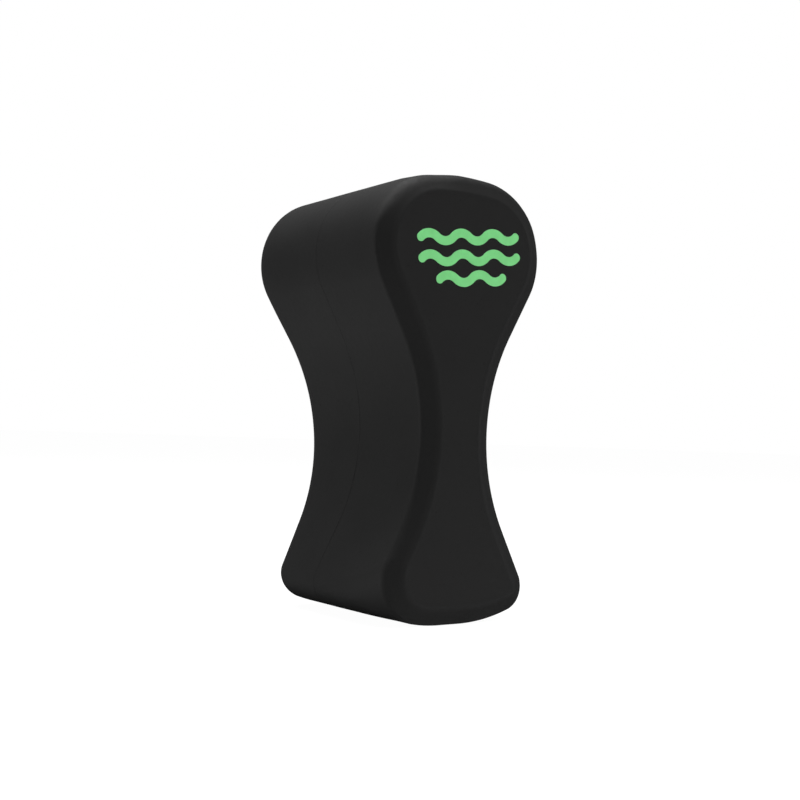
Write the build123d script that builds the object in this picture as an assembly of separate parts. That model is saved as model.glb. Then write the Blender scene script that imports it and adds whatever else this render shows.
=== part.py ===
from build123d import *
from math import acos, atan2, cos, hypot, pi, radians, sin, sqrt
import os

# Pull buoy: a closed-cell foam float that a swimmer holds between the thighs.
# It is cut as an hourglass seen from the front and is bonded from two thick foam layers.
# Millimetres, +Z up, +X to the right seen from the front, printed front face towards -Y.
# The origin is at the middle of the base, on the surface that the buoy stands on.

# Driving dimensions: the hourglass outline
height = 230.0
upper_lobe_width = 105.0
upper_lobe_radius = 38.9
crown_radius = 200.0
waist_width = 42.8
waist_height = 96.5
waist_radius = 108.0
lower_lobe_width = 92.3
lower_corner_radius = 15.0
base_radius = 106.0
base_flat_width = 12.0

# Driving dimensions: front to back
front_y = -69.3
depth_at_mid_height = 122.1
rear_face_tilt = 9.4
front_layer_thickness = 60.7
front_bevel_inset = 9.4
front_bevel_depth = 5.2
rear_edge_radius = 13.5

# Driving dimensions: the bond and the print
film_thickness = 0.3
film_inset = 1.2
ink_thickness = 0.15
ink_stroke_width = 4.6
ink_centre_x = 3.0
ink_centre_height = 187.5
ink_tilt = 6.4
ink_row_pitch = 10.6
ink_half_wave = 10.2
ink_half_wave_turn = 42.0
ink_half_waves = {"upper": 6, "middle": 6, "lower": 4}


def polar(centre, radius, angle):
    """The point on a circle at an angle in radians."""
    return (centre[0] + radius * cos(angle), centre[1] + radius * sin(angle))


def arc(centre, radius, start_angle, end_angle):
    """An arc about a centre, from one angle to another, in radians."""
    middle_angle = (start_angle + end_angle) / 2
    return ThreePointArc(
        polar(centre, radius, start_angle),
        polar(centre, radius, middle_angle),
        polar(centre, radius, end_angle),
    )


def flank_angle(lobe_centre, lobe_radius, waist_centre, side):
    """The direction from a lobe's centre to where its straight flank towards the waist begins."""
    across = waist_centre[0] - lobe_centre[0]
    up = waist_centre[1] - lobe_centre[1]
    return atan2(up, across) + side * acos((lobe_radius + waist_radius) / hypot(across, up))


def right_half(inset):
    """The edges of the right half of the outline, from the crown to the base, drawn in by an inset."""
    crown = (0.0, height - crown_radius)
    shoulder_x = upper_lobe_width / 2 - upper_lobe_radius
    shoulder_rise = sqrt((crown_radius - upper_lobe_radius) ** 2 - shoulder_x**2)
    shoulder = (shoulder_x, crown[1] + shoulder_rise)
    waist = (waist_width / 2 + waist_radius, waist_height)
    base = (base_flat_width / 2, base_radius)
    corner_x = lower_lobe_width / 2 - lower_corner_radius
    corner_drop = sqrt((base_radius - lower_corner_radius) ** 2 - (corner_x - base[0]) ** 2)
    corner = (corner_x, base_radius - corner_drop)

    crown_end = atan2(shoulder_rise, shoulder_x)
    upper_flank = flank_angle(shoulder, upper_lobe_radius, waist, 1)
    lower_flank = flank_angle(corner, lower_corner_radius, waist, -1)
    corner_end = atan2(-corner_drop, corner_x - base[0])

    crown_arc = arc(crown, crown_radius - inset, pi / 2, crown_end)
    shoulder_arc = arc(shoulder, upper_lobe_radius - inset, crown_end, upper_flank)
    waist_arc = arc(waist, waist_radius + inset, upper_flank + pi, lower_flank + pi)
    corner_arc = arc(corner, lower_corner_radius - inset, lower_flank, corner_end)
    base_arc = arc(base, base_radius - inset, corner_end, -pi / 2)
    upper_line = Line(shoulder_arc @ 1, waist_arc @ 0)
    lower_line = Line(waist_arc @ 1, corner_arc @ 0)
    base_line = Line(base_arc @ 1, (0.0, inset))
    return [crown_arc, shoulder_arc, upper_line, waist_arc, lower_line, corner_arc, base_arc, base_line]


def outline_face(inset, y):
    """The hourglass outline, drawn in by an inset, as a face that looks forward at a depth y."""
    right = Curve() + right_half(inset)
    left = mirror(right, Plane.YZ)
    face = make_face(right.edges() + left.edges())
    return Plane((0, y, 0), x_dir=(1, 0, 0), z_dir=(0, -1, 0)) * face


def rear_plane():
    """The sloping rear face, looking back: the buoy is deepest at the crown."""
    slope = radians(rear_face_tilt)
    origin = (0, front_y + depth_at_mid_height, height / 2)
    return Plane(origin, x_dir=(-1, 0, 0), z_dir=(0, cos(slope), -sin(slope)))


def foam_block():
    """The whole foam body: bevelled at the front, cut to a slope and well rounded at the rear."""
    full_length = 2 * depth_at_mid_height
    block = extrude(outline_face(0.0, front_y), -full_length)
    block = split(block, rear_plane(), keep=Keep.BOTTOM)
    rear_face = block.faces().sort_by(Axis.Y)[-1]
    block = fillet(rear_face.edges(), rear_edge_radius)
    front_face = block.faces().sort_by(Axis.Y)[0]
    return chamfer(front_face.edges(), front_bevel_inset, front_bevel_depth, reference=front_face)


def seam_plane(y):
    """A plane parallel to the front face, looking back."""
    return Plane((0, y, 0), x_dir=(-1, 0, 0), z_dir=(0, 1, 0))


def make_layers():
    """The two foam layers, one each side of the adhesive film."""
    block = foam_block()
    film_front = front_y + front_layer_thickness
    front_layer = split(block, seam_plane(film_front), keep=Keep.BOTTOM)
    rear_layer = split(block, seam_plane(film_front + film_thickness), keep=Keep.TOP)
    return front_layer, rear_layer


def make_film():
    """The adhesive film that bonds the layers, held back from their edges."""
    film_front = front_y + front_layer_thickness
    return extrude(outline_face(film_inset, film_front), -film_thickness)


def wave_stroke(half_waves, row_height):
    """One printed wave: a ribbon of equal arcs, crest and trough in turn, with round ends.

    The row height is above the middle of the mark, and the whole mark rises to the right.
    """
    turn = radians(ink_half_wave_turn)
    radius = ink_half_wave / (2 * sin(turn))
    half_width = ink_stroke_width / 2
    drop = radius * cos(turn)
    start_x = -half_waves * ink_half_wave / 2
    upper_edges = []
    lower_edges = []
    for index in range(half_waves):
        crest = 1 if index % 2 == 0 else -1
        centre = (start_x + (index + 0.5) * ink_half_wave, row_height - crest * drop)
        left_angle = crest * (pi / 2 + turn)
        right_angle = crest * (pi / 2 - turn)
        upper_edges.append(arc(centre, radius + crest * half_width, left_angle, right_angle))
        lower_edges.append(arc(centre, radius - crest * half_width, left_angle, right_angle))
    left_end = ThreePointArc(
        lower_edges[0] @ 0,
        polar((start_x, row_height), half_width, pi + turn),
        upper_edges[0] @ 0,
    )
    end_direction = turn if half_waves % 2 else -turn
    right_end = ThreePointArc(
        upper_edges[-1] @ 1,
        polar((-start_x, row_height), half_width, -end_direction),
        lower_edges[-1] @ 1,
    )
    ribbon = Curve() + [left_end, *upper_edges, right_end, *lower_edges]
    face = make_face(ribbon.edges())
    mark_centre = (ink_centre_x, front_y, ink_centre_height)
    mark_plane = Plane(mark_centre, x_dir=(1, 0, 0), z_dir=(0, -1, 0))
    return extrude(mark_plane * (Rot(0, 0, ink_tilt) * face), ink_thickness)


def main():
    os.makedirs("parts", exist_ok=True)
    front_layer, rear_layer = make_layers()
    export_step(front_layer, "parts/front_layer.step")
    export_step(rear_layer, "parts/rear_layer.step")
    export_step(make_film(), "parts/adhesive_film.step")
    for row, (name, half_waves) in enumerate(ink_half_waves.items()):
        row_height = (1 - row) * ink_row_pitch
        export_step(wave_stroke(half_waves, row_height), f"parts/printed_wave_{name}.step")


main()
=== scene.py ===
from collections import namedtuple
from math import acos, atan2, cos, hypot, pi, radians, sin, sqrt, tan

import bmesh
import bpy
import numpy as np
from mathutils import Matrix, Vector, noise


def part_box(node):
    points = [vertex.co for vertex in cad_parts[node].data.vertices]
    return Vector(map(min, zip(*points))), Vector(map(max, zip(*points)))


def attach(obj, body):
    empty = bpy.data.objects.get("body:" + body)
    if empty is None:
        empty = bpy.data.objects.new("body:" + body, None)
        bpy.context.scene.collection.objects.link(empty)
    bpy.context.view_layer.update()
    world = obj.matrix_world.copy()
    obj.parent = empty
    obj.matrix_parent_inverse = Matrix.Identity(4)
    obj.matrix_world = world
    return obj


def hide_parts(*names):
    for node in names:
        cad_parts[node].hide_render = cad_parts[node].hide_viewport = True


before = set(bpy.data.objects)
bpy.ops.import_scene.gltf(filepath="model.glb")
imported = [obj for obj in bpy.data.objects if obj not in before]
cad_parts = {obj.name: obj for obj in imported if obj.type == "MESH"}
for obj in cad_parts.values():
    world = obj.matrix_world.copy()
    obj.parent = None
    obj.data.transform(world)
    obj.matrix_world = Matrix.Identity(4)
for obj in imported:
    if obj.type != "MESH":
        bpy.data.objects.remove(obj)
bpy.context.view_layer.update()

# A foam pull buoy: two layers of near-black closed-cell foam bonded at a seam, with a green printed mark.
# Metres, in the CAD frame: +Z up, printed front face towards -Y, origin under the middle of the base.

MM = 0.001

# Places read from the frame
FRONT_LOW, FRONT_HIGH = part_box("front_layer")
REAR_LOW, REAR_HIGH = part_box("rear_layer")
FILM_LOW, FILM_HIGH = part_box("adhesive_film")
FRONT_Y = FRONT_LOW.y
SEAM_FRONT_Y = FRONT_HIGH.y
SEAM_REAR_Y = REAR_LOW.y

# The hourglass outline in front view, fuller than the CAD's by the foam's skin
FOAM_SKIN = 0.25 * MM
HEIGHT = FRONT_HIGH.z + FOAM_SKIN
UPPER_LOBE_WIDTH = FRONT_HIGH.x - FRONT_LOW.x + 2 * FOAM_SKIN
UPPER_LOBE_RADIUS = 38.9 * MM
CROWN_RADIUS = 200.0 * MM
WAIST_WIDTH = 42.8 * MM + 2 * FOAM_SKIN
WAIST_HEIGHT = 96.5 * MM
WAIST_RADIUS = 108.0 * MM
LOWER_LOBE_WIDTH = 94.2 * MM + 2 * FOAM_SKIN
LOWER_CORNER_RADIUS = 12.6 * MM
BASE_RADIUS = 100.0 * MM
BASE_FLAT_WIDTH = 12.0 * MM

# The front's left foot corner, worn rounder at the face than further back
WORN_CORNER_RADIUS = 25.0 * MM
WORN_END_DEPTH = 42.0 * MM
WORN_FADE = 2.2

# The body from front to rear
DEPTH_AT_MID_HEIGHT = 122.1 * MM
REAR_FACE_TILT = radians(9.4)

# The bevel round the front face, with a faint ridge along its inner edge
BEVEL_INSET = 9.4 * MM
BEVEL_DEPTH = 5.2 * MM
BEVEL_INNER_ROUNDING = 4.5 * MM
BEVEL_OUTER_ROUNDING = 2.4 * MM
BEVEL_END_DEPTH = 22.0 * MM
CAP_INSET = 12.2 * MM
RIDGE_HEIGHT = 0.10 * MM
RIDGE_WIDTH = 1.1 * MM

# The bevel's softer outer edge over the crown and at the crown's left shoulder. It takes the place of the
# crisp one as the outline leans over, from 0 on an upright flank to 1 on top.
CROWN_EDGE_DEPTH = 2.4 * MM
CROWN_OUTER_ROUNDING = 6.5 * MM
SHOULDER_EDGE_INSET = 1.1 * MM
SHOULDER_EDGE_DEPTH = 4.0 * MM
SHOULDER_OUTER_ROUNDING = 10.0 * MM
SHOULDER_WEAR_REACH = 20.0 * MM
SOFT_EDGE_FROM = 0.12
SOFT_EDGE_TO = 0.65

# The rounded rear edge, rounder from a height up to the crown
REAR_EDGE_INSET = 12.2 * MM
REAR_EDGE_DEPTH = 14.0 * MM
CROWN_REAR_ROUNDING = 22.0 * MM
CROWN_REAR_FROM = 160.0 * MM

# The seam, whose edges are rounded by a share of the full rounding that wanders along it
SEAM_ROUNDING = 0.2 * MM
SEAM_FACE_INSET = 3 * SEAM_ROUNDING
SEAM_PATCH_LENGTH = 17.0 * MM
SEAM_MEAN_SHARE = 0.35
SEAM_SHARE_SWING = 1.6
SEAM_LEAST_SHARE = 0.15
FILM_RIM_INSET = 0.03 * MM

# Slight unevenness of the moulded sides, fading out towards the front face and the seam
WAVE_LENGTH = 34.0 * MM
WAVE_HEIGHT = 0.15 * MM
WAVE_FACE_FADE = 12.0 * MM
WAVE_SEAM_FADE = 6.0 * MM

# Mesh spacing. A flat face's rings close up on a spine between two shares of the height.
OUTLINE_SPACING = 1.0 * MM
SIDE_SPACING = 1.6 * MM
FACE_SHARES = (0.0, 0.35, 0.7)
FLANK_RINGS = 10
PROFILE_STEPS = 7
SEAM_EDGE_STEPS = 4
REAR_EDGE_STEPS = 14
CAP_RINGS = 16
SPINE_LOW = 0.16
SPINE_HIGH = 0.84
WELD_DISTANCE = 0.004 * MM
SLIVER_LENGTH = 0.002 * MM

# Brightness of the two layers' foam
FRONT_TONE = 0.0118
REAR_TONE = 0.0122

# Softboxes: name, compass direction round the buoy and elevation in degrees, power in watts.
# Compass 0 is the front and 90 is +X. They are square and all stand equally far from the buoy's middle.
SOFTBOXES = (
    ("top_softbox", 180.0, 80.0, 25.7),
    ("front_high_softbox", 36.0, 62.0, 13.9),
    ("rear_high_softbox", -130.0, 62.0, 6.6),
    ("front_low_softbox", 10.0, -30.0, 8.2),
    ("right_low_softbox", 42.0, -30.0, 7.0),
    ("left_softbox", -90.0, -8.0, 17.2),
    ("left_low_softbox", -105.0, -30.0, 2.6),
    ("rear_low_softbox", -160.0, -52.0, 9.7),
    ("right_softbox", 65.0, 8.0, 3.8),
)
SOFTBOX_SIZE = 1.0
SOFTBOX_DISTANCE = 1.6
MIDDLE = Vector((0.0, 0.0, HEIGHT / 2))

# How bright the even surround is, where white is 1
AMBIENT = 0.130

# The pale floor, and the black card just under the base
FLOOR_REACH = 30.0
FLOOR_GLOW = 0.975
CARD_MARGIN = 8.0 * MM
CARD_SETBACK = 8.0 * MM
CARD_DROP = 1.0 * MM

# The camera stands left of the front, level with the waist, and leans a little. Angles are in radians.
CAMERA_TURN = 0.5996
CAMERA_DISTANCE = 0.6639
CAMERA_HEIGHT = 0.0939
CAMERA_AIM_TURN = 0.0052
CAMERA_AIM_RISE = 0.0320
CAMERA_ROLL = 0.0323
CAMERA_LENS_MM = 54.36
CAMERA_SENSOR_MM = 36.0
CAMERA_CLIP_START = 0.02
CAMERA_AXIS_Y = FRONT_Y + DEPTH_AT_MID_HEIGHT / 2


# ---------------------------------------------------------------- outline

# An arc runs from its start angle to its end angle; a hollow arc has a negative radius
Arc = namedtuple("Arc", "centre radius start end")


def smooth_step(value):
    value = np.clip(value, 0, 1)
    return value * value * (3 - 2 * value)


def count_for(length):
    return max(3, round(length / OUTLINE_SPACING))


def arc_place(arc, inset, angle):
    """The place at an angle on an arc drawn in by an inset."""
    reach = arc.radius - inset
    return np.array([arc.centre[0] + reach * cos(angle), arc.centre[1] + reach * sin(angle)])


def arc_points(arc, inset, count):
    """Points along an arc drawn in by an inset, without its last one."""
    angles = np.linspace(arc.start, arc.end, count, endpoint=False)
    reach = arc.radius - inset
    return np.stack([arc.centre[0] + reach * np.cos(angles), arc.centre[1] + reach * np.sin(angles)], 1)


def line_points(start, end, count):
    """Points along a straight run, without its last one."""
    share = np.linspace(0.0, 1.0, count, endpoint=False)[:, None]
    return np.asarray(start) * (1 - share) + np.asarray(end) * share


def flank_angle(lobe, lobe_radius, waist, side):
    """The direction from a lobe's centre to where its straight flank towards the waist begins."""
    across, up = waist[0] - lobe[0], waist[1] - lobe[1]
    return atan2(up, across) + side * acos((lobe_radius + WAIST_RADIUS) / hypot(across, up))


def outline_arcs(corner_radius):
    """The arcs of the outline's right half, by name, from the crown to the base.

    A corner radius larger than the lower lobe's own keeps the flank and the base, and rounds more of the
    corner away.
    """
    crown = (0.0, HEIGHT - CROWN_RADIUS)
    shoulder_x = UPPER_LOBE_WIDTH / 2 - UPPER_LOBE_RADIUS
    shoulder_rise = sqrt((CROWN_RADIUS - UPPER_LOBE_RADIUS) ** 2 - shoulder_x**2)
    shoulder = (shoulder_x, crown[1] + shoulder_rise)
    waist = (WAIST_WIDTH / 2 + WAIST_RADIUS, WAIST_HEIGHT)
    base = (BASE_FLAT_WIDTH / 2, BASE_RADIUS)
    corner_x = LOWER_LOBE_WIDTH / 2 - LOWER_CORNER_RADIUS
    corner_drop = sqrt((BASE_RADIUS - LOWER_CORNER_RADIUS) ** 2 - (corner_x - base[0]) ** 2)
    corner = (corner_x, BASE_RADIUS - corner_drop)

    crown_end = atan2(shoulder_rise, shoulder_x)
    upper_flank = flank_angle(shoulder, UPPER_LOBE_RADIUS, waist, 1)
    lower_flank = flank_angle(corner, LOWER_CORNER_RADIUS, waist, -1)

    # A corner of any radius touches the same flank line and the same base arc
    own_reach = (corner[0] - base[0]) * cos(lower_flank) + (corner[1] - base[1]) * sin(lower_flank)
    flank_reach = own_reach + LOWER_CORNER_RADIUS - corner_radius
    centre_reach = BASE_RADIUS - corner_radius
    corner_end = lower_flank - acos(flank_reach / centre_reach)
    rounded = (base[0] + centre_reach * cos(corner_end), base[1] + centre_reach * sin(corner_end))
    return {
        "crown": Arc(crown, CROWN_RADIUS, pi / 2, crown_end),
        "shoulder": Arc(shoulder, UPPER_LOBE_RADIUS, crown_end, upper_flank),
        "waist": Arc(waist, -WAIST_RADIUS, upper_flank, lower_flank),
        "corner": Arc(rounded, corner_radius, lower_flank, corner_end),
        "base": Arc(base, BASE_RADIUS, corner_end, -pi / 2),
    }


OWN_ARCS = outline_arcs(LOWER_CORNER_RADIUS)


def half_outline(inset, corner_radius):
    """The outline's right half drawn in by an inset, from the crown to the middle of the base.

    Its points are counted on the outline's own arcs, so there are as many for every inset and corner radius.
    """
    arcs = outline_arcs(corner_radius)

    def bend(name, fineness=1):
        own = OWN_ARCS[name]
        return arc_points(arcs[name], inset, count_for(abs(own.radius * (own.end - own.start))) * fineness)

    def flank(before, after):
        own_start = arc_place(OWN_ARCS[before], 0.0, OWN_ARCS[before].end)
        own_end = arc_place(OWN_ARCS[after], 0.0, OWN_ARCS[after].start)
        start = arc_place(arcs[before], inset, arcs[before].end)
        end = arc_place(arcs[after], inset, arcs[after].start)
        return line_points(start, end, count_for(hypot(*(own_end - own_start))))

    base_end = arc_place(arcs["base"], inset, arcs["base"].end)
    base_middle = (0.0, inset)
    return np.concatenate([
        bend("crown"),
        bend("shoulder"),
        flank("shoulder", "waist"),
        bend("waist"),
        flank("waist", "corner"),
        bend("corner", fineness=2),
        bend("base"),
        line_points(base_end, base_middle, count_for(BASE_FLAT_WIDTH / 2)),
        [base_middle],
    ])


def closed_outline(inset, left_corner_radius=LOWER_CORNER_RADIUS):
    """The whole outline drawn in by an inset, from the crown down the right side and up the left one."""
    left = half_outline(inset, left_corner_radius)[-2:0:-1] * np.array([-1.0, 1.0])
    return np.concatenate([half_outline(inset, LOWER_CORNER_RADIUS), left])


PATH = closed_outline(0.0)
INWARD = (closed_outline(MM) - PATH) / MM
WORN_PATH = closed_outline(0.0, WORN_CORNER_RADIUS)
WORN_INWARD = (closed_outline(MM, WORN_CORNER_RADIUS) - WORN_PATH) / MM


def outline(inset):
    """The outline drawn in by an inset, or by one inset for each point."""
    return PATH + INWARD * np.reshape(inset, (-1, 1))


def front_outline(inset, wear):
    """The outline near the front face, with its worn corner; the wear is 1 at the face and 0 behind it."""
    inset, wear = np.reshape(inset, (-1, 1)), np.reshape(wear, (-1, 1))
    return PATH + (WORN_PATH - PATH) * wear + (INWARD + (WORN_INWARD - INWARD) * wear) * inset


# ---------------------------------------------------------------- rings

def ring(points, y):
    """One ring round the body, through an outline's points; y is one number, or one for each point."""
    return np.stack([points[:, 0], np.broadcast_to(y, len(points)), points[:, 1]], 1)


def front_ring(inset, depth):
    """A ring of the front layer, at one depth behind the face or one for each point.

    The corner's wear fades out backwards.
    """
    unworn = (depth - BEVEL_DEPTH) / (WORN_END_DEPTH - BEVEL_DEPTH)
    wear = np.clip(1 - unworn, 0, 1) ** WORN_FADE
    return ring(front_outline(inset, wear), FRONT_Y + depth)


def cap_rings(rim, surface):
    """Rings that carry a rim in to a spine up the middle of a face, where its left and right points meet.

    The surface gives the face's y at each height.
    """
    spine_z = SPINE_LOW * HEIGHT + (SPINE_HIGH - SPINE_LOW) * PATH[:, 1]
    spine = np.stack([np.zeros(len(rim)), spine_z], 1)
    rings = []
    for blend in np.arange(1, CAP_RINGS + 1) / CAP_RINGS:
        points = rim * (1 - blend) + spine * blend
        rings.append(ring(points, surface(points[:, 1])))
    return rings


def upright(y):
    """The surface of an upright face."""
    return lambda heights: y


def sloping_rear(heights):
    """The surface of the rear face, which leans back towards the crown."""
    return FRONT_Y + DEPTH_AT_MID_HEIGHT + tan(REAR_FACE_TILT) * (heights - HEIGHT / 2)


def side_shares(length):
    """Even shares from 0 to 1 along a side, without the ends."""
    count = max(2, round(length / SIDE_SPACING))
    return [step / count for step in range(1, count)]


def rounded_profile(corners, radii):
    """A run of (inset, depth) points with each inner corner rounded off by an arc."""
    points = [np.array(corners[0])]
    for before, corner, after, radius in zip(corners, corners[1:], corners[2:], radii):
        before, corner, after = map(np.array, (before, corner, after))
        towards = (before - corner) / np.linalg.norm(before - corner)
        onwards = (after - corner) / np.linalg.norm(after - corner)
        half_angle = acos(float(np.clip(towards @ onwards, -1, 1))) / 2
        reach = radius / tan(half_angle)
        middle = (towards + onwards) / np.linalg.norm(towards + onwards)
        centre = corner + middle * radius / sin(half_angle)
        start, end = corner + towards * reach - centre, corner + onwards * reach - centre
        sweep = pi - 2 * half_angle
        for share in np.arange(PROFILE_STEPS + 1) / PROFILE_STEPS:
            from_start = sin((1 - share) * sweep) / sin(sweep)
            from_end = sin(share * sweep) / sin(sweep)
            points.append(centre + from_start * start + from_end * end)
    points.append(np.array(corners[-1]))
    return points


def bevel_profile(edge_inset, edge_depth, outer_rounding):
    """The front edge in section, as (inset, depth) points: face, inner edge, bevel, outer edge, side."""
    corners = [(CAP_INSET, 0.0), (BEVEL_INSET, 0.0), (edge_inset, edge_depth), (0.0, BEVEL_END_DEPTH)]
    face, *edge, side = rounded_profile(corners, [BEVEL_INNER_ROUNDING, outer_rounding])
    approach = [face + (edge[0] - face) * share for share in FACE_SHARES]
    flank_shares = np.arange(1, FLANK_RINGS + 1) / FLANK_RINGS
    flank = [edge[-1] + (side - edge[-1]) * share for share in flank_shares]
    return np.array(approach + edge + flank)


def bevel_rings():
    """Rings over the bevel, with the ridge.

    The outer edge is crisp along the flanks and softer over the crown, most of all at its left shoulder.
    """
    crisp = bevel_profile(0.0, BEVEL_DEPTH, BEVEL_OUTER_ROUNDING)
    soft = bevel_profile(0.0, CROWN_EDGE_DEPTH, CROWN_OUTER_ROUNDING)
    worn = bevel_profile(SHOULDER_EDGE_INSET, SHOULDER_EDGE_DEPTH, SHOULDER_OUTER_ROUNDING)
    lean = -INWARD[:, 1]
    upward = smooth_step((lean - SOFT_EDGE_FROM) / (SOFT_EDGE_TO - SOFT_EDGE_FROM))[:, None, None]
    leftward = smooth_step(-PATH[:, 0] / SHOULDER_WEAR_REACH)[:, None, None]
    profiles = crisp + (soft + (worn - soft) * leftward - crisp) * upward
    insets, depths = profiles[:, :, 0], profiles[:, :, 1]
    from_ridge = (insets - BEVEL_INSET - RIDGE_WIDTH / 2) / RIDGE_WIDTH
    depths = depths - RIDGE_HEIGHT * np.exp(-from_ridge**2)
    return [front_ring(inset, depth) for inset, depth in zip(insets.T, depths.T)]


def seam_opening():
    """How far the seam opens at each point of the outline: a fine groove here, nearly closed there."""
    wander = np.array([noise.noise(Vector((x, 0.0, z)) / SEAM_PATCH_LENGTH) for x, z in PATH])
    return SEAM_ROUNDING * np.clip(SEAM_MEAN_SHARE + SEAM_SHARE_SWING * wander, SEAM_LEAST_SHARE, 1.0)


def seam_edge(seam_y, way):
    """The small rounded edge of a layer at the seam, from the side in to the seam face.

    The way is 1 for the layer behind the seam and -1 for the layer in front of it.
    """
    opening = seam_opening()
    rings = [ring(PATH, seam_y + way * 2 * SEAM_ROUNDING)]
    for angle in np.linspace(0.0, pi / 2, SEAM_EDGE_STEPS + 1):
        edge = outline(opening * (1 - cos(angle)))
        rings.append(ring(edge, seam_y + way * opening * (1 - sin(angle))))
    rings.append(ring(outline(SEAM_FACE_INSET), seam_y))
    return rings


def front_layer_rings():
    """Rings from the front face's middle, over the bevel and along the sides, to the seam face's middle."""
    face = cap_rings(front_outline(CAP_INSET, 1.0), upright(FRONT_Y))[::-1]
    start = BEVEL_END_DEPTH
    length = SEAM_FRONT_Y - 2 * SEAM_ROUNDING - FRONT_Y - start
    sides = [front_ring(0.0, start + length * share) for share in side_shares(length)]
    seam_face = cap_rings(outline(SEAM_FACE_INSET), upright(SEAM_FRONT_Y))
    return face + bevel_rings() + sides + seam_edge(SEAM_FRONT_Y, -1) + seam_face


def rear_edge_rings(edge_inset, edge_depth):
    """Rings round the rear edge, which is a quarter of an ellipse in section, sized at each point."""
    rings = []
    for angle in np.linspace(0.0, pi / 2, REAR_EDGE_STEPS + 1):
        points = outline(edge_inset * (1 - cos(angle)))
        rings.append(ring(points, sloping_rear(points[:, 1]) - edge_depth * (1 - sin(angle))))
    return rings


def rear_layer_rings():
    """Rings from the seam face's middle, along the sides and round the edge, to the rear face's middle."""
    raised = smooth_step((PATH[:, 1] - CROWN_REAR_FROM) / (HEIGHT - CROWN_REAR_FROM))
    edge_inset = REAR_EDGE_INSET + (CROWN_REAR_ROUNDING - REAR_EDGE_INSET) * raised
    edge_depth = REAR_EDGE_DEPTH + (CROWN_REAR_ROUNDING - REAR_EDGE_DEPTH) * raised
    seam_face = cap_rings(outline(SEAM_FACE_INSET), upright(SEAM_REAR_Y))[::-1]
    start = SEAM_REAR_Y + 2 * SEAM_ROUNDING
    lengths = sloping_rear(PATH[:, 1]) - edge_depth - start
    mean_length = DEPTH_AT_MID_HEIGHT / 2 - REAR_EDGE_DEPTH
    sides = [ring(PATH, start + lengths * share) for share in side_shares(mean_length)]
    edge = rear_edge_rings(edge_inset, edge_depth)
    rear_face = cap_rings(outline(edge_inset), sloping_rear)
    return seam_face + seam_edge(SEAM_REAR_Y, 1)[::-1] + sides + edge + rear_face


def film_rings():
    """Rings from the film's front face, round its rim, to its rear face."""
    rim = outline(FILM_RIM_INSET)
    front = cap_rings(rim, upright(FILM_LOW.y))[::-1]
    rear = cap_rings(rim, upright(FILM_HIGH.y))
    return front + [ring(rim, FILM_LOW.y), ring(rim, FILM_HIGH.y)] + rear


# ---------------------------------------------------------------- meshes

def tidy_mesh(mesh):
    """Welds the closed-up ends, turns the faces outwards and smooths them."""
    work = bmesh.new()
    work.from_mesh(mesh)
    bmesh.ops.remove_doubles(work, verts=work.verts, dist=WELD_DISTANCE)
    bmesh.ops.dissolve_degenerate(work, edges=work.edges, dist=SLIVER_LENGTH)
    bmesh.ops.recalc_face_normals(work, faces=work.faces)
    work.to_mesh(mesh)
    work.free()
    mesh.polygons.foreach_set("use_smooth", [True] * len(mesh.polygons))
    mesh.update()


def mesh_from_rings(name, rings):
    """A closed quad mesh through the rings; the first and last rings have closed up to a line."""
    count = len(rings[0])
    faces = []
    for start in range(0, (len(rings) - 1) * count, count):
        for index in range(count):
            here, following = start + index, start + (index + 1) % count
            faces.append((here, following, following + count, here + count))
    mesh = bpy.data.meshes.new(name)
    mesh.from_pydata(np.concatenate(rings).tolist(), [], faces)
    tidy_mesh(mesh)
    return mesh


def uneven_sides(mesh, seed):
    """Gentle hollows over the sides and the rear, none on the front face, at the seam or below the floor."""
    count = len(mesh.vertices)
    places, normals = np.empty(count * 3), np.empty(count * 3)
    mesh.vertices.foreach_get("co", places)
    mesh.vertex_normals.foreach_get("vector", normals)
    places, normals = places.reshape(-1, 3), normals.reshape(-1, 3)
    sideways = np.hypot(normals[:, 0], normals[:, 2])
    off_face = np.clip((places[:, 1] - FRONT_Y) / WAVE_FACE_FADE, 0, 1)
    off_seam = np.clip(abs(places[:, 1] - SEAM_FRONT_Y) / WAVE_SEAM_FADE, 0, 1)
    clear = off_face * off_seam
    patch = Vector((seed, 0, 0))
    swell = np.array([noise.noise(Vector(place / WAVE_LENGTH) + patch) for place in places])
    places += normals * (WAVE_HEIGHT * swell * sideways * clear)[:, None]
    places[:, 2] = np.maximum(places[:, 2], 0.0)
    mesh.vertices.foreach_set("co", places.ravel())
    mesh.update()


def add_object(mesh, material):
    """Puts a mesh in the scene under its own name, with its material."""
    added = bpy.data.objects.new(mesh.name, mesh)
    bpy.context.scene.collection.objects.link(added)
    mesh.materials.append(material)
    return added


def foam_layer(name, node, rings, material, seed):
    """One foam layer in place of its CAD node."""
    mesh = mesh_from_rings(name, rings)
    uneven_sides(mesh, seed)
    layer = add_object(mesh, material)
    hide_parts(node)
    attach(layer, "root")


def bond_line(material):
    """The adhesive film between the layers, with its rim just under the surface."""
    film = add_object(mesh_from_rings("bond_line", film_rings()), material)
    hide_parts("adhesive_film")
    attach(film, "root")


# ---------------------------------------------------------------- materials

class Nodes:
    """A short way to write a node tree."""

    def __init__(self, tree):
        self.tree = tree

    def feed(self, socket, value):
        """Links a socket to another node's output, or gives it a value."""
        if isinstance(value, bpy.types.NodeSocket):
            self.tree.links.new(value, socket)
        else:
            socket.default_value = value

    def add(self, kind, inputs=None, **settings):
        node = self.tree.nodes.new(kind)
        for key, value in settings.items():
            setattr(node, key, value)
        for key, value in (inputs or {}).items():
            self.feed(node.inputs[key], value)
        return node


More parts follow.
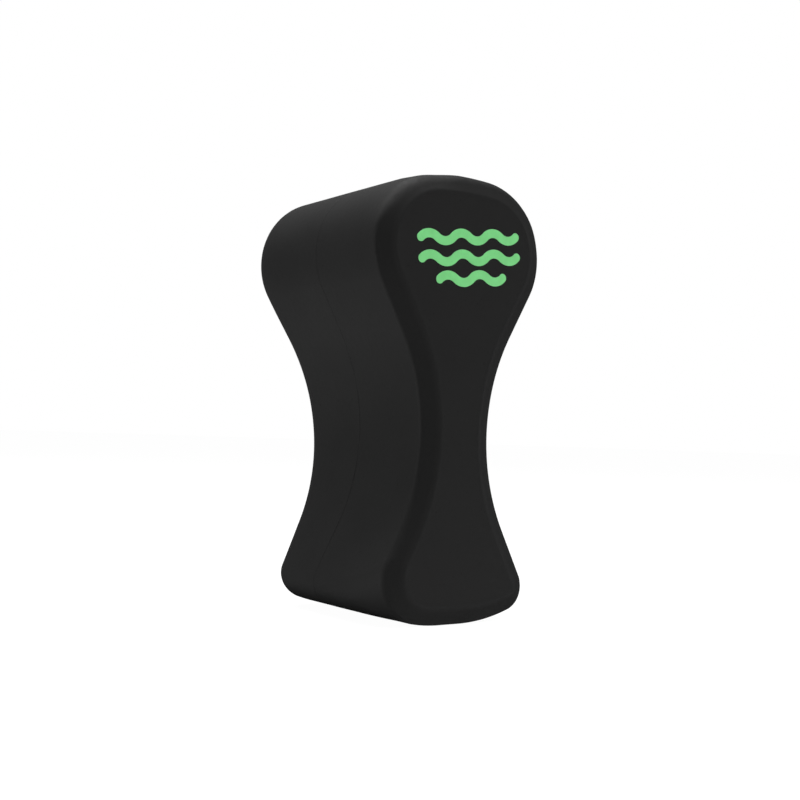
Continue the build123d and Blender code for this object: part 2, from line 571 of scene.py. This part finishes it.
class MaterialNodes(Nodes):
    """A material's node tree, with its shader and the object's own coordinates."""

    def __init__(self, name):
        self.material = bpy.data.materials.new(name)
        self.material.use_nodes = True
        super().__init__(self.material.node_tree)
        self.shader = self.tree.nodes["Principled BSDF"]
        self.place = self.add("ShaderNodeTexCoord").outputs["Object"]

    def shade(self, inputs):
        for key, value in inputs.items():
            self.feed(self.shader.inputs[key], value)

    def noise(self, scale, detail, roughness=0.5, place=None):
        inputs = {"Vector": place or self.place, "Scale": scale, "Detail": detail, "Roughness": roughness}
        return self.add("ShaderNodeTexNoise", inputs).outputs["Fac"]

    def between(self, value, from_low, from_high, to_low=0.0, to_high=1.0):
        """Carries one range of a value to another range, and holds it at the ends."""
        inputs = {"Value": value, "From Min": from_low, "From Max": from_high}
        inputs |= {"To Min": to_low, "To Max": to_high}
        return self.add("ShaderNodeMapRange", inputs).outputs["Result"]

    def maths(self, operation, *values):
        return self.add("ShaderNodeMath", dict(enumerate(values)), operation=operation).outputs[0]

    def mix(self, share, first, second):
        """Mixes two colours; the share is the second one's."""
        node = self.add("ShaderNodeMix", data_type="RGBA")
        sockets = {socket.name: socket for socket in node.inputs if socket.enabled}
        for key, value in (("Factor", share), ("A", first), ("B", second)):
            self.feed(sockets[key], value)
        return next(socket for socket in node.outputs if socket.enabled)

    def bump(self, height, strength, distance, normal=None):
        inputs = {"Height": height, "Strength": strength, "Distance": distance}
        if normal is not None:
            inputs["Normal"] = normal
        return self.add("ShaderNodeBump", inputs).outputs["Normal"]


def grey(level):
    return (level, level, level, 1.0)


def bevel_painted_shade(nodes, depth):
    """How far a place is on the front bevel, where the colour is darkened as painted shade for the dim band
    it sits in.
    """
    begins = nodes.between(depth, FRONT_Y + 0.4 * MM, FRONT_Y + 1.4 * MM)
    ends = nodes.between(depth, FRONT_Y + BEVEL_DEPTH, FRONT_Y + BEVEL_DEPTH + 1.5 * MM, 1.0, 0.0)
    return nodes.maths("MULTIPLY", begins, ends)


def seam_stain(nodes, depth):
    """How stained a place is by the adhesive: close to the seam only, and in patches along it."""
    from_seam = nodes.maths("ABSOLUTE", nodes.maths("SUBTRACT", depth, (SEAM_FRONT_Y + SEAM_REAR_Y) / 2))
    close = nodes.between(from_seam, 0.2 * MM, 0.75 * MM, 1.0, 0.0)
    patches = nodes.between(nodes.noise(55.0, 2.0), 0.45, 0.65, 0.0, 0.55)
    return nodes.maths("MULTIPLY", close, patches)


def scuffs(nodes):
    """How rubbed a place is: thin streaks, gathered in a few broad patches."""
    inputs = {"Vector": nodes.place, "Scale": (70.0, 900.0, 110.0), "Rotation": (0.5, 0.0, 0.3)}
    stretched = nodes.add("ShaderNodeMapping", inputs).outputs["Vector"]
    streaks = nodes.between(nodes.noise(1.0, 3.0, place=stretched), 0.60, 0.72, 0.0, 0.5)
    patches = nodes.between(nodes.noise(13.0, 2.0), 0.52, 0.66)
    return nodes.maths("MULTIPLY", streaks, patches)


def foam_relief(nodes, open_cells):
    """The skin's relief: a leathery grain, fine pebbles on it, and a pit at each open cell."""
    leather = nodes.bump(nodes.noise(300.0, 5.0, roughness=0.6), 0.24, 0.12 * MM)
    inputs = {"Vector": nodes.place, "Scale": 1150.0, "Randomness": 1.0}
    pebbles = nodes.add("ShaderNodeTexVoronoi", inputs, feature="SMOOTH_F1").outputs["Distance"]
    pebbled = nodes.bump(pebbles, 0.2, 0.06 * MM, leather)
    return nodes.bump(open_cells, -0.4, 0.1 * MM, pebbled)


def foam_material(name, tone):
    """Matt closed-cell foam with a moulded skin: mottled, pebbled, lightly scuffed, with a few open cells and
    painted shade on the front bevel.
    """
    nodes = MaterialNodes(name)
    broad = nodes.noise(28.0, 4.0, roughness=0.55)
    fine = nodes.noise(420.0, 4.0, roughness=0.65)
    open_cells = nodes.between(nodes.noise(760.0, 1.0), 0.73, 0.78, 0.0, 0.7)
    depth = nodes.add("ShaderNodeSeparateXYZ", {"Vector": nodes.place}).outputs["Y"]

    # Each mark lies over the ones before it, lighter or darker than the foam by a factor
    marks = (
        (nodes.between(fine, 0.35, 0.68, 0.0, 0.5), 1.22),
        # Painted shade: the front bevel's band is darkened to stand in for the shade it falls in
        (bevel_painted_shade(nodes, depth), 0.86),
        (seam_stain(nodes, depth), 0.5),
        (scuffs(nodes), 1.5),
        (open_cells, 0.35),
    )
    colour = nodes.mix(nodes.between(broad, 0.35, 0.65), grey(tone * 0.93), grey(tone * 1.09))
    for share, factor in marks:
        colour = nodes.mix(share, colour, grey(tone * factor))

    broad_rough = nodes.between(broad, 0.3, 0.7, 0.60, 0.68)
    fine_rough = nodes.between(fine, 0.3, 0.7, -0.04, 0.05)
    nodes.shade({
        "Base Color": colour,
        "Roughness": nodes.maths("ADD", broad_rough, fine_rough),
        "IOR": 1.48,
        "Specular IOR Level": 0.12,
        "Normal": foam_relief(nodes, open_cells),
    })
    return nodes.material


def adhesive_material():
    """Dried black contact adhesive, lumpy and matt."""
    nodes = MaterialNodes("dried_adhesive")
    lumps = nodes.noise(900.0, 3.0)
    nodes.shade({
        "Base Color": nodes.mix(lumps, grey(0.0085), grey(0.0115)),
        "Roughness": nodes.between(lumps, 0.3, 0.7, 0.6, 0.75),
        "Specular IOR Level": 0.1,
        "Normal": nodes.bump(lumps, 0.4, 0.1 * MM),
    })
    return nodes.material


def ink_material():
    """Bright green screen-printed ink: even, slightly patchy, with the foam's skin showing through."""
    thin_ink = (0.2, 0.7, 0.237, 1.0)
    thick_ink = (0.226, 0.775, 0.272, 1.0)
    pinhole = (0.03, 0.09, 0.035, 1.0)
    nodes = MaterialNodes("green_ink")
    patches = nodes.noise(160.0, 3.0, roughness=0.55)
    patchy = nodes.mix(nodes.between(patches, 0.3, 0.7), thin_ink, thick_ink)
    pinholes = nodes.between(nodes.noise(1500.0, 2.0), 0.70, 0.76, 0.0, 0.6)
    nodes.shade({
        "Base Color": nodes.mix(pinholes, patchy, pinhole),
        "Roughness": nodes.between(patches, 0.3, 0.7, 0.46, 0.56),
        "Specular IOR Level": 0.4,
        "Normal": nodes.bump(nodes.noise(420.0, 4.0), 0.2, 0.06 * MM),
    })
    return nodes.material


# ---------------------------------------------------------------- stage

def rectangle(name, low, high, z):
    """A flat rectangular mesh between two (x, y) corners."""
    mesh = bpy.data.meshes.new(name)
    corners = [(low[0], low[1], z), (high[0], low[1], z), (high[0], high[1], z), (low[0], high[1], z)]
    mesh.from_pydata(corners, [], [(0, 1, 2, 3)])
    return mesh


def make_floor():
    """A plain pale floor that fades into the white backdrop and throws no light on the buoy."""
    nodes = MaterialNodes("pale_floor")
    nodes.shade({"Base Color": grey(0.12), "Roughness": 0.9, "Specular IOR Level": 0.0})
    nodes.shade({"Emission Color": grey(1.0), "Emission Strength": FLOOR_GLOW})
    mesh = rectangle("floor", (-FLOOR_REACH, -FLOOR_REACH), (FLOOR_REACH, FLOOR_REACH), 0)
    floor = add_object(mesh, nodes.material)
    floor.visible_diffuse = False
    floor.visible_glossy = False
    floor.visible_shadow = False


def make_flag():
    """A black card under the base, unseen by the camera, that keeps the low lamps off the underside."""
    nodes = MaterialNodes("black_card")
    nodes.shade({"Base Color": grey(0.004), "Roughness": 1.0, "Specular IOR Level": 0.0})
    reach = LOWER_LOBE_WIDTH / 2 + CARD_MARGIN
    mesh = rectangle("flag", (-reach, FRONT_Y + CARD_SETBACK), (reach, REAR_HIGH.y), -CARD_DROP)
    flag = add_object(mesh, nodes.material)
    flag.visible_camera = False


def make_world():
    """A white backdrop to look at, and a dim even surround to light the buoy."""
    world = bpy.data.worlds.new("studio")
    world.use_nodes = True
    world.node_tree.nodes.clear()
    nodes = Nodes(world.node_tree)
    surround = nodes.add("ShaderNodeBackground", {"Color": grey(1.0), "Strength": AMBIENT})
    backdrop = nodes.add("ShaderNodeBackground", {"Color": grey(1.0), "Strength": 1.0})
    seen = nodes.add("ShaderNodeLightPath").outputs["Is Camera Ray"]
    inputs = {"Fac": seen, 1: surround.outputs["Background"], 2: backdrop.outputs["Background"]}
    mixed = nodes.add("ShaderNodeMixShader", inputs).outputs["Shader"]
    nodes.add("ShaderNodeOutputWorld", {"Surface": mixed})
    bpy.context.scene.world = world


def direction(compass, elevation):
    """The unit vector towards a compass direction and elevation in degrees."""
    turn, rise = radians(compass), radians(elevation)
    return Vector((sin(turn) * cos(rise), -cos(turn) * cos(rise), sin(rise)))


def make_lights():
    for name, compass, elevation, power in SOFTBOXES:
        light = bpy.data.lights.new(name, "AREA")
        light.shape = "RECTANGLE"
        light.size = SOFTBOX_SIZE
        light.size_y = SOFTBOX_SIZE
        light.energy = power
        lamp = bpy.data.objects.new(name, light)
        towards = direction(compass, elevation)
        lamp.location = MIDDLE + towards * SOFTBOX_DISTANCE
        lamp.rotation_euler = towards.to_track_quat("Z", "Y").to_euler()
        lamp.visible_camera = False
        bpy.context.scene.collection.objects.link(lamp)


def make_camera():
    data = bpy.data.cameras.new("camera")
    data.lens = CAMERA_LENS_MM
    data.sensor_width = CAMERA_SENSOR_MM
    data.clip_start = CAMERA_CLIP_START
    camera = bpy.data.objects.new("camera", data)
    across, back = CAMERA_DISTANCE * sin(CAMERA_TURN), CAMERA_DISTANCE * cos(CAMERA_TURN)
    place = Matrix.Translation((-across, CAMERA_AXIS_Y - back, CAMERA_HEIGHT))
    heading = Matrix.Rotation(-(CAMERA_TURN + CAMERA_AIM_TURN), 4, "Z")
    rise = Matrix.Rotation(pi / 2 + CAMERA_AIM_RISE, 4, "X")
    roll = Matrix.Rotation(CAMERA_ROLL, 4, "Z")
    camera.matrix_world = place @ heading @ rise @ roll
    bpy.context.scene.collection.objects.link(camera)
    bpy.context.scene.camera = camera


# ---------------------------------------------------------------- making

make_camera()
make_world()
make_floor()
make_flag()
make_lights()
bpy.context.scene.view_settings.view_transform = "Standard"

front_skin = foam_material("front_foam_skin", FRONT_TONE)
rear_skin = foam_material("rear_foam_skin", REAR_TONE)
foam_layer("front_foam", "front_layer", front_layer_rings(), front_skin, seed=1.7)
foam_layer("rear_foam", "rear_layer", rear_layer_rings(), rear_skin, seed=5.3)
bond_line(adhesive_material())
ink = ink_material()
for node in ("printed_wave_upper", "printed_wave_middle", "printed_wave_lower"):
    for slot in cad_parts[node].material_slots:
        slot.material = ink
